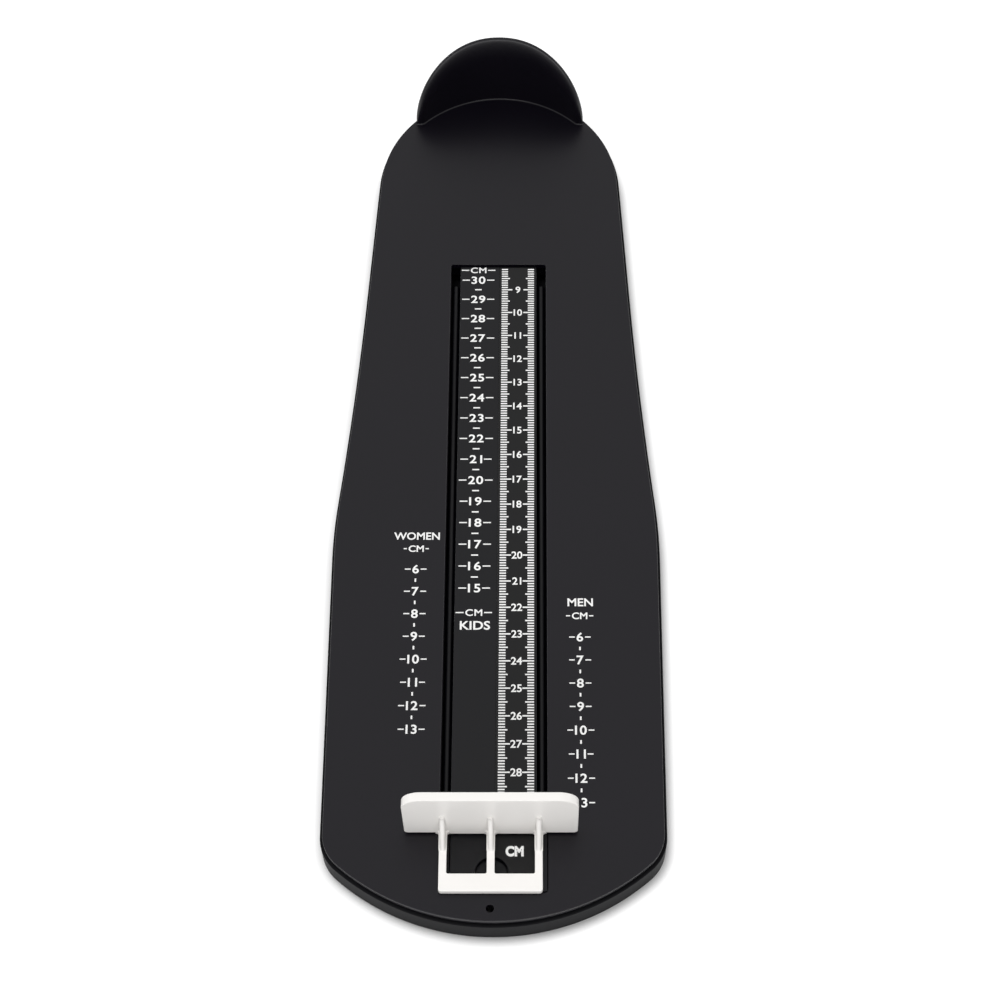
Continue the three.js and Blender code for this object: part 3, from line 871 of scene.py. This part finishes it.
def cup_foot_wall(d):
    """The wall's foot, between the deck and the tray."""
    return round_the_heel(cup_inner_radius, heel_radius - tongue_inset, cup_front_y)


cup_parts = [
    cup_fillet(),
    slab(cup_foot_wall, cup_plate_under, deck_under + gap),
    slab(cup_plate_outline, cup_plate_under, cup_plate_top),
]
cup_parts += [post(x, y, pillar_radius, boss_top, cup_plate_top - gap) for x, y in cup_screw_places]
cup_holes = [post(x, y, shank_hole, 0, cup_pilot_top, pilot_step) for x, y in cup_screw_places]
heel_cup = carved("heel_cup_wall", cup_wall(), cup_parts, cup_holes)
finish_piece(heel_cup, black_abs, "base", ["heel_cup"])

# Scale plate
# The floor of the channel, moulded in smooth black ABS: a raised table for the print, a sunk track
# on both sides for the toe stop's hooks, and flanges that the upper shell holds down.
strip_low, strip_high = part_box("ruler_strip")
track_top = 9.3 * mm
strip_gap = 0.2 * mm
table_edge = 0.25 * mm
end_notch = 6.5 * mm
slit_width = 1.0 * mm
slit_floor = plate_low.z + 0.3 * mm
ridge_fall = 0.2 * mm
recess_x = -0.5 * mm
recess_y = channel_near_y + 6.8 * mm
recess_radius = 5.4 * mm
recess_floor = plate_high.z - 2.0 * mm
recess_fillet = 0.7 * mm

scale_black = moulded_plastic("scale_black", (0.0013, 0.0013, 0.0025), 0.34, 0.28, 0.25 * mm, 0.008 * mm)


def rounded_rectangle(x0, x1, y0, y1, near_corner, far_corner, spread=0.0, step=11.25):
    """A rectangle with round corners, counterclockwise, with every side moved outwards by spread."""
    near, far = near_corner + spread, far_corner + spread
    x0, x1, y0, y1 = x0 - spread, x1 + spread, y0 - spread, y1 + spread
    points = arc(x1 - near, y0 + near, near, -90, 0, step) + [(x1, y0 + near)]
    points += arc(x1 - far, y1 - far, far, 0, 90, step) + [(x1 - far, y1)]
    points += arc(x0 + far, y1 - far, far, 90, 180, step) + [(x0, y1 - far)]
    return points + arc(x0 + near, y0 + near, near, 180, 270, step) + [(x0 + near, y0)]


def plate_table(d):
    """The raised table in the middle of the channel."""
    near, far = channel_near_y + gap, channel_far_y - sliver
    return rounded_rectangle(-scale_half, scale_half, near, far, 0.5 * mm, 0.5 * mm, -d)


def recess_outline(d):
    """The round finger recess near the toe end, seen from above."""
    return arc(recess_x, recess_y, recess_radius - d, 0, 360, 5)


plate_flange = bar(plate_low.x, plate_high.x, plate_low.y, plate_high.y, plate_low.z, track_top)
plate_parts = [slab(plate_table, plate_low.z, plate_high.z, 0, table_edge)]
plate_cuts = [
    bar(
        plate_wall - scale_half,
        scale_half - plate_wall,
        channel_near_y + gap + plate_wall,
        channel_far_y - gap - plate_wall,
        0,
        plate_high.z - plate_skin,
    ),
    bar(
        strip_low.x - strip_gap,
        strip_high.x + strip_gap,
        strip_low.y - strip_gap,
        strip_high.y + strip_gap,
        strip_low.z,
        deck_top,
    ),
    slab(recess_outline, recess_floor, deck_top, recess_fillet),
]


def track_slope(wall_x, side):
    """A tool for the low ridge along the middle of a track, and the slit between it and one wall."""
    near, far = channel_near_y, channel_far_y - end_notch
    shoulder, middle = wall_x + side * slit_width, wall_x + side * groove_width / 2
    section = [(wall_x, slit_floor), (shoulder, track_top - ridge_fall), (middle, track_top)]
    section += [(middle, deck_top), (wall_x, deck_top)]
    return skin([[(x, y, z) for x, z in section] for y in ((far, near) if side > 0 else (near, far))])


for side in (-1, 1):
    inner, outer = side * scale_half, side * channel_half
    plate_cuts.append(bar(inner, outer, channel_far_y - end_notch, channel_far_y, 0, deck_top))
    plate_cuts.append(track_slope(inner, side))
    plate_cuts.append(track_slope(outer, -side))
scale_piece = carved("scale_table", plate_flange, plate_parts, plate_cuts)
finish_piece(scale_piece, scale_black, "base", ["scale_plate"])

# Ruler strip
# A thin satin strip let into the right half of the scale table, printed white: a line for each
# millimetre along both edges, longer each half and whole centimetre, and the number between them.
strip_edge = 0.12 * mm
ink = 0.03 * mm
ruler_film = moulded_plastic("ruler_film", (0.0013, 0.0013, 0.0017), 0.32, 0.29, 0.5 * mm, 0.004 * mm)


def strip_outline(d):
    """The strip seen from above."""
    low, high = strip_low, strip_high
    return rounded_rectangle(low.x, high.x, low.y, high.y, 0.4 * mm, 0.4 * mm, -d)


ruler_cut = drill(recess_x, recess_y, recess_radius, recess_floor, strip_high.z, 0, strip_edge)
ruler_strip = carved(
    "ruler_insert", slab(strip_outline, strip_low.z, strip_high.z, 0, strip_edge), cuts=[ruler_cut]
)
finish_piece(ruler_strip, ruler_film, "base", ["ruler_strip"])


def printed_white():
    """White ink, a little uneven where it thins out."""
    material = bpy.data.materials.new("white_print")
    material.use_nodes = True
    tree = material.node_tree
    shader = tree.nodes["Principled BSDF"]
    place = add_node(tree, "ShaderNodeTexCoord").outputs["Object"]
    thin = add_node(tree, "ShaderNodeTexNoise", {"Vector": place, "Scale": 900.0, "Detail": 3.0})
    shade = add_node(
        tree,
        "ShaderNodeMix",
        {"Factor": thin.outputs["Fac"], 6: (0.86, 0.86, 0.85, 1), 7: (0.96, 0.96, 0.95, 1)},
        data_type="RGBA",
    )
    tree.links.new(shade.outputs[2], shader.inputs["Base Color"])
    shader.inputs["Roughness"].default_value = 0.55
    shader.inputs["Specular IOR Level"].default_value = 0.3
    return material


white_print = printed_white()
line_tree, line_size = new_rule(
    "ruler_lines",
    ["First", "Count", "Pitch", "Line width", "Ink", "Side", "Millimetre", "Half centimetre", "Centimetre"],
)
line_index = add_node(line_tree, "GeometryNodeInputIndex").outputs[0]
line_number = maths(line_tree, "ADD", line_index, line_size["First"])


def longer_every(count, plain, longer):
    """One length on every so many lines, and another on the rest."""
    left_over = maths(line_tree, "MODULO", line_number, count)
    is_longer = maths(line_tree, "LESS_THAN", left_over, 0.5)
    chosen = add_node(line_tree, "ShaderNodeMix", {0: is_longer, 2: plain, 3: longer}, data_type="FLOAT")
    return chosen.outputs[0]


half_or_less = longer_every(5, line_size["Millimetre"], line_size["Half centimetre"])
line_length = longer_every(10, half_or_less, line_size["Centimetre"])
line_y = maths(line_tree, "MULTIPLY", maths(line_tree, "MULTIPLY", line_number, line_size["Pitch"]), -1.0)
line_x = maths(line_tree, "MULTIPLY", maths(line_tree, "MULTIPLY", line_length, 0.5), line_size["Side"])
line_row = add_node(line_tree, "GeometryNodeMeshLine", {"Count": line_size["Count"]})
line_place = add_node(
    line_tree,
    "ShaderNodeCombineXYZ",
    {"X": line_x, "Y": line_y, "Z": maths(line_tree, "MULTIPLY", line_size["Ink"], 0.5)},
)
line_places = add_node(
    line_tree, "GeometryNodeSetPosition", {"Geometry": line_row.outputs[0], "Position": line_place.outputs[0]}
)
line_scale = add_node(
    line_tree, "ShaderNodeCombineXYZ", {"X": line_length, "Y": line_size["Line width"], "Z": line_size["Ink"]}
)
one_line = add_node(line_tree, "GeometryNodeMeshCube", {"Size": (1, 1, 1)})
lines = add_node(
    line_tree,
    "GeometryNodeInstanceOnPoints",
    {"Points": line_places.outputs[0], "Instance": one_line.outputs[0], "Scale": line_scale.outputs[0]},
)
lines_real = add_node(line_tree, "GeometryNodeRealizeInstances", {"Geometry": lines.outputs[0]})
line_rows = add_node(
    line_tree,
    "GeometryNodeInstanceOnPoints",
    {"Points": line_size["Geometry"], "Instance": lines_real.outputs[0]},
)
end_rule(line_tree, line_rows.outputs[0], white_print)

# The lines count from 8 cm, just off the strip's far end, to 30 cm. That last one lies at the edge of
# the toe stop's wall and has no number.
ruler_start_y = 84.7 * mm
ruler_start_number = 8
ruler_centimetres = 22
for name, side, x in (("left", 1, 1.25 * mm), ("right", -1, 13.1 * mm)):
    ruler_lines = grown(
        f"ruler_lines_{name}",
        line_tree,
        {
            "First": 1,
            "Count": 10 * ruler_centimetres,
            "Pitch": 1 * mm,
            "Line width": 0.5 * mm,
            "Ink": ink,
            "Side": side,
            "Millimetre": 2.25 * mm,
            "Half centimetre": 3.0 * mm,
            "Centimetre": 3.9 * mm,
        },
        [(x, ruler_start_y, strip_high.z)],
    )
    finish_piece(ruler_lines, white_print, "base")

letter_height = 0.69


def word(text, x, y, height, stretch=1.0, spacing=1.0, weight=0.018):
    """A word centred on a place, as flat points and faces."""
    letters = bpy.data.curves.new("letters", "FONT")
    letters.body = text
    letters.offset = weight
    letters.space_character = spacing
    letters.resolution_u = 4
    piece = bpy.data.objects.new("letters", letters)
    bpy.context.collection.objects.link(piece)
    flat = as_mesh(piece)
    bpy.data.objects.remove(piece)
    scale = height / (letter_height + 2 * weight)
    places = [(v.co.x, v.co.y) for v in flat.vertices]
    middle = (min(px for px, py in places) + max(px for px, py in places)) / 2
    lift = weight * scale - height / 2
    points = [(x + (px - middle) * scale * stretch, y + py * scale + lift) for px, py in places]
    return points, [tuple(p.vertices) for p in flat.polygons]


def dash(x, y, length, thickness):
    """A short printed line centred on a place."""
    half, rise = length / 2, thickness / 2
    return rectangle(x - half, x + half, y - rise, y + rise), [(0, 1, 2, 3)]


def printed(name, shapes, z):
    """White print on a face at height z: flat shapes raised by the thickness of the ink, as one piece."""
    edit = bmesh.new()
    for points, faces in shapes:
        corners = [edit.verts.new((x, y, z)) for x, y in points]
        for face in faces:
            edit.faces.new([corners[index] for index in face])
    sheet = bmesh.ops.extrude_face_region(edit, geom=list(edit.faces), use_keep_orig=True)
    raised = [item for item in sheet["geom"] if isinstance(item, bmesh.types.BMVert)]
    bmesh.ops.translate(edit, vec=(0, 0, ink), verts=raised)
    bmesh.ops.recalc_face_normals(edit, faces=edit.faces)
    piece = loose_piece(name, ([], []))
    edit.to_mesh(piece.data)
    edit.free()
    finish_piece(piece, white_print, "base")


number_x = 7.2 * mm
number_height = 2.8 * mm
ruler_shapes = [word("CM", 6.83 * mm, -142.4 * mm, 3.55 * mm, stretch=0.88, spacing=1.03, weight=0.055)]
for index in range(1, ruler_centimetres):
    number = str(ruler_start_number + index)
    ruler_shapes.append(word(number, number_x, ruler_start_y - 10 * mm * index, number_height))
printed("ruler_numbers", ruler_shapes, strip_high.z)

# Upper shell
# The deck that the foot stands on, moulded in the same black ABS. Its edge is rounded over, a tongue
# goes down inside the tray's rim, and pillars under it take the screws.
skirt_inset = 1.0 * mm
skirt_round = 0.15 * mm
deck_edge_round = 0.3 * mm
tongue_thickness = 1.4 * mm
tongue_bottom = 8 * mm
track_rib_inner = 20.6 * mm
track_rib_thickness = 1.6 * mm
deck_skin = 2 * mm
sleeve_radius = hang_hole + 1 * mm
channel_corner = 1 * mm
channel_lip = 0.35 * mm


def channel_outline(d):
    """The opening over the scale, widened by d."""
    x, near, far = channel_half, channel_near_y, channel_far_y
    return rounded_rectangle(-x, x, near, far, channel_corner, channel_corner, d)


def cup_notch_outline(d):
    """The curved slot that the cup's wall stands up through, widened by d on its inner side."""
    inner, outer = cup_inner_radius - gap - d, cup_outer_radius + sliver
    front, side = cup_front_y - gap - d, cup_half_width + sliver
    inner_start = math.degrees(math.asin((front - heel_centre_y) / inner))
    outer_start = math.degrees(math.acos(side / outer))
    points = [(side, front)] + arc(0, heel_centre_y, outer, outer_start, 180 - outer_start)
    points += [(-side, cup_outer_y(side)), (-side, front)]
    points += arc(0, heel_centre_y, inner, 180 - inner_start, inner_start)
    return points + [(inner * math.cos(math.radians(inner_start)), front)]


tongue = solid_of(
    carved(
        "tongue",
        slab(lambda d: inset(outline, tongue_inset + d), tongue_bottom, deck_under + gap, skirt_round),
        cuts=[
            slab(lambda d: inset(outline, tongue_inset + tongue_thickness), 0, deck_under),
            bar(-heel_radius, heel_radius, cup_foot_y - gap, tray_high.y, 0, deck_under),
        ],
    )
)
deck_parts = [tongue, post(hang_hole_x, hang_hole_y, sleeve_radius, floor_top + gap, deck_under + gap)]
deck_parts += [post(x, y, pillar_radius, boss_top, deck_under + gap) for x, y in case_screw_places]
for side in (-1, 1):
    inner, outer = side * track_rib_inner, side * (track_rib_inner + track_rib_thickness)
    near, far = channel_near_y - track_overlap, channel_far_y + track_overlap
    deck_parts.append(bar(inner, outer, near, far, track_top, deck_under + gap))
    for y in rib_ys:
        reach = side * (half_width(y) - tongue_inset - tongue_thickness / 2)
        near, far = y - rib_thickness / 2, y + rib_thickness / 2
        deck_parts.append(bar(outer - side * gap, reach, near, far, track_top + gap, deck_under + gap))
deck_holes = [
    cutter(cup_notch_outline, 0, deck_top, 0, seam_lip),
    cutter(channel_outline, 0, deck_top, 0, channel_lip),
    drill(hang_hole_x, hang_hole_y, hang_hole, 0, deck_top, 0, hole_lip),
]
deck_holes += [post(x, y, shank_hole, 0, deck_top - deck_skin, pilot_step) for x, y in case_screw_places]
deck_body = slab(
    lambda d: inset(outline, skirt_inset + d), deck_under, deck_top, skirt_round, deck_edge_round
)
upper_shell = carved("upper_shell", deck_body, deck_parts, deck_holes)
finish_piece(upper_shell, black_abs, "base", ["top_deck"])

# Size columns
# White pad-printed columns that name whose sizes they give: one on the scale table and one on each
# side of the deck. The rows stand a third of an inch apart, which is one shoe size.
size_step = 8.467 * mm
dash_gap = 0.6 * mm
dash_thickness = 0.43 * mm
number_size = 3.25 * mm
unit_size = 2.5 * mm


def size_rows(x, first_y, numbers, unit_ys, stretch, spacing, dash_length, unit_dash, between):
    """A unit mark and a numbered row for each size, each with a dash on both sides of it."""
    rows = [("CM", y, unit_size, unit_dash) for y in unit_ys]
    for index, number in enumerate(numbers):
        rows.append((str(number), first_y - index * size_step, number_size, dash_length))
    shapes = []
    for text, y, height, length in rows:
        shapes.append(word(text, x, y, height, stretch, spacing))
        half = max(px for px, py in shapes[-1][0]) - x
        for side in (-1, 1):
            shapes.append(dash(x + side * (half + dash_gap + length / 2), y, length, dash_thickness))
    for index in range(len(numbers) - 1):
        shapes.append(dash(x, first_y - (index + 0.5) * size_step, *between))
    return shapes


deck_numbers = range(6, 14)
kids_numbers = range(30, 14, -1)
small_mark = (0.55 * mm, 1.3 * mm)
long_mark = (2.4 * mm, 0.5 * mm)
women = [word("WOMEN", -27.25 * mm, -28.5 * mm, 2.85 * mm, stretch=1.03)]
women += size_rows(
    -27.4 * mm,
    -41.3 * mm,
    deck_numbers,
    [-33.4 * mm],
    stretch=1.08,
    spacing=1.0,
    dash_length=2.0 * mm,
    unit_dash=1.1 * mm,
    between=small_mark,
)
printed("women_sizes", women, deck_top)
men = [word("MEN", 28.75 * mm, -53.95 * mm, 3.0 * mm, stretch=1.07)]
men += size_rows(
    28.5 * mm,
    -67.0 * mm,
    deck_numbers,
    [-59.05 * mm],
    stretch=1.08,
    spacing=1.0,
    dash_length=1.9 * mm,
    unit_dash=1.4 * mm,
    between=small_mark,
)
printed("men_sizes", men, deck_top)
kids = [word("KIDS", -6.9 * mm, -62.0 * mm, 3.25 * mm, stretch=1.12)]
kids += size_rows(
    -7.35 * mm,
    79.1 * mm,
    kids_numbers,
    [83.5 * mm, -57.2 * mm],
    stretch=1.15,
    spacing=1.1,
    dash_length=2.7 * mm,
    unit_dash=2.7 * mm,
    between=long_mark,
)
printed("kids_sizes", kids, plate_high.z)

# Toe stop
# A moulding in white ABS: a wall that meets the toes, a frame with two windows over the scale, and
# three webs between them. Two black blades under it have hooks that run in the track under the deck.
stop_low, stop_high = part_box("toe_stop")
stop_under = deck_top + gap
wall_half = 27.85 * mm
stop_shift = 0.15 * mm
stop_middle = stop_low.x + wall_half - stop_shift
wall_under = deck_top + 1.2 * mm
wall_thickness = 3.0 * mm
wall_face_y = stop_high.y - wall_thickness
wall_top_corner = 6.5 * mm
wall_bottom_corner = 1.4 * mm
wall_round = 0.4 * mm
frame_half = channel_half - 0.8 * mm
frame_top = deck_top + 2.7 * mm
frame_corner = 1 * mm
frame_round = 0.45 * mm
frame_fillet = 1.2 * mm
frame_bar = 2.5 * mm
frame_near_y = stop_low.y + 0.5 * mm
frame_end_bar = 5.9 * mm
window_near_corner = 0.6 * mm
window_far_corner = 1.1 * mm
window_lip = 0.12 * mm
web_half = 0.85 * mm
web_top = stop_under + 15.2 * mm
web_reach = 7 * mm
web_fillet = 0.5 * mm
web_steps = 14
blade_thickness = 1.8 * mm
blade_near_y = channel_near_y + 2 * gap
blade_far_y = stop_high.y - 0.2 * mm
blade_corner = 0.5 * mm
blade_round = 0.2 * mm
hook_reach = 2.4 * mm
hook_length = 6.5 * mm
hook_thickness = 1.1 * mm
hook_arm_length = 2.2 * mm
hook_arm_top = stop_low.z + 0.8 * mm
shoulder_play = 0.15 * mm
sunk = 1 * mm

white_abs = moulded_plastic("white_abs", (0.9, 0.88, 0.855), 0.32, 0.5, 0.4 * mm, 0.006 * mm, 0.01)


def stood_up(solid, y):
    """A flat solid turned up on its edge, with its underside facing the heel at one place along."""
    return [(px, y - pz, py) for px, py, pz in solid[0]], solid[1]


def wall_outline(d):
    """The wall seen from the front."""
    return rounded_rectangle(
        -wall_half, wall_half, wall_under, stop_high.z, wall_bottom_corner, wall_top_corner, -d, 5
    )


def frame_outline(d):
    """The frame seen from above, with a fillet on both sides where it meets the wall."""
    near, corner, fillet = frame_near_y, frame_corner, frame_fillet
    end = frame_half + fillet
    points = arc(corner - frame_half, near + corner, corner, 180, 270, 10) + [(corner - frame_half, near)]
    points += arc(frame_half - corner, near + corner, corner, 270, 360, 10) + [(frame_half, near + corner)]
    points += arc(end, wall_face_y - fillet, fillet, 180, 90, 10) + [(end, wall_face_y)]
    points += [(end, wall_face_y + sunk), (-end, wall_face_y + sunk)]
    points += arc(-end, wall_face_y - fillet, fillet, 90, 0, 10) + [(-frame_half, wall_face_y - fillet)]
    return inset(points, d)


def web(x):
    """An upright web whose nose falls in a straight line from the wall to the frame."""
    first = frame_top + web_fillet
    levels = [(frame_top - gap, web_fillet)]
    levels += [(frame_top + up, flare) for flare, up in quarter(web_fillet)[::-1]]
    levels += [(first + (web_top - first) * (index + 1) / web_steps, 0.0) for index in range(web_steps)]
    rings = []
    for z, flare in levels:
        reach = web_reach * (web_top - max(z, frame_top)) / (web_top - frame_top) + flare
        half = web_half + flare
        f = max(min(web_fillet, reach - half), sliver)
        ring = [(x - half - f, wall_face_y + sunk)]
        ring += arc(x - half - f, wall_face_y - f, f, 90, 0, 22.5)
        ring += arc(x, wall_face_y - max(reach, half + f) + half, half, 180, 360, 15)
        ring += arc(x + half + f, wall_face_y - f, f, 180, 90, 22.5)
        ring += [(x + half + f, wall_face_y), (x + half + f, wall_face_y + sunk)]
        rings.append(at_height(ring, z))
    return skin(rings)


windows = []
for side in (-1, 1):
    low, high = sorted((side * frame_bar / 2, side * (frame_half - frame_bar)))

    def window_outline(d):
        near, far = frame_near_y + frame_end_bar, wall_face_y
        return rounded_rectangle(low, high, near, far, window_near_corner, window_far_corner, d)

    windows.append(cutter(window_outline, stop_under, frame_top, window_lip, window_lip))
stop_frame = slab(frame_outline, stop_under, frame_top, blade_round, frame_round)
stop_parts = [solid_of(carved("stop_frame", stop_frame, cuts=windows))]
stop_parts += [web(x) for x in (frame_bar / 2 - frame_half, 0, frame_half - frame_bar / 2)]


def rail(x0, x1, near, far, bottom, top, top_round):
    """A small moulded bar with soft edges, whose places across may come in either order."""
    low, high = sorted((x0, x1))
    return slab(
        lambda d: rounded_rectangle(low, high, near, far, blade_corner, blade_corner, -d),
        bottom,
        top,
        blade_round,
        top_round,
    )


stop_wall = stood_up(slab(wall_outline, 0, wall_thickness, wall_round, wall_round), stop_high.y)
toe_stop = carved("toe_stop_slider", stop_wall, stop_parts)
toe_stop.data.transform(Matrix.Translation((stop_middle, 0, 0)))
finish_piece(toe_stop, white_abs, "toe_stop", ["toe_stop"])

# The blades and their hooks are black like the track, so that nothing white shows beside the frame.
# Shoulders on each blade fill the track's opening: level with the deck at its outer wall, and with
# the scale table at its inner one.
for name, side in (("left_runner", -1), ("right_runner", 1)):
    inner, outer = side * (frame_half - blade_thickness), side * frame_half
    hook_tip = side * (frame_half + hook_reach)
    hook_back = hook_tip - side * hook_thickness
    blade = rail(inner, outer, blade_near_y, blade_far_y, stop_low.z, stop_under, blade_round)
    shoulder_tip = side * (channel_half - shoulder_play) - stop_middle
    shoulder_root = side * (scale_half + shoulder_play) - stop_middle
    runner_parts = []
    for x0, x1, top in ((inner, shoulder_tip, deck_top), (outer, shoulder_root, plate_high.z)):
        near = channel_near_y + gap
        runner_parts.append(rail(x0, x1, near, blade_far_y, track_top + gap, top - sliver, sliver))
    for near in (blade_near_y, blade_far_y - hook_length):
        arm_near = near + (hook_length - hook_arm_length) / 2
        arm_far = arm_near + hook_arm_length
        runner_parts.append(rail(inner, hook_tip, arm_near, arm_far, stop_low.z, hook_arm_top, blade_round))
        runner_parts.append(
            rail(hook_back, hook_tip, near, near + hook_length, stop_low.z, deck_under - gap, blade_round)
        )
    runner = carved(name, blade, runner_parts)
    runner.data.transform(Matrix.Translation((stop_middle, 0, 0)))
    finish_piece(runner, scale_black, "toe_stop")
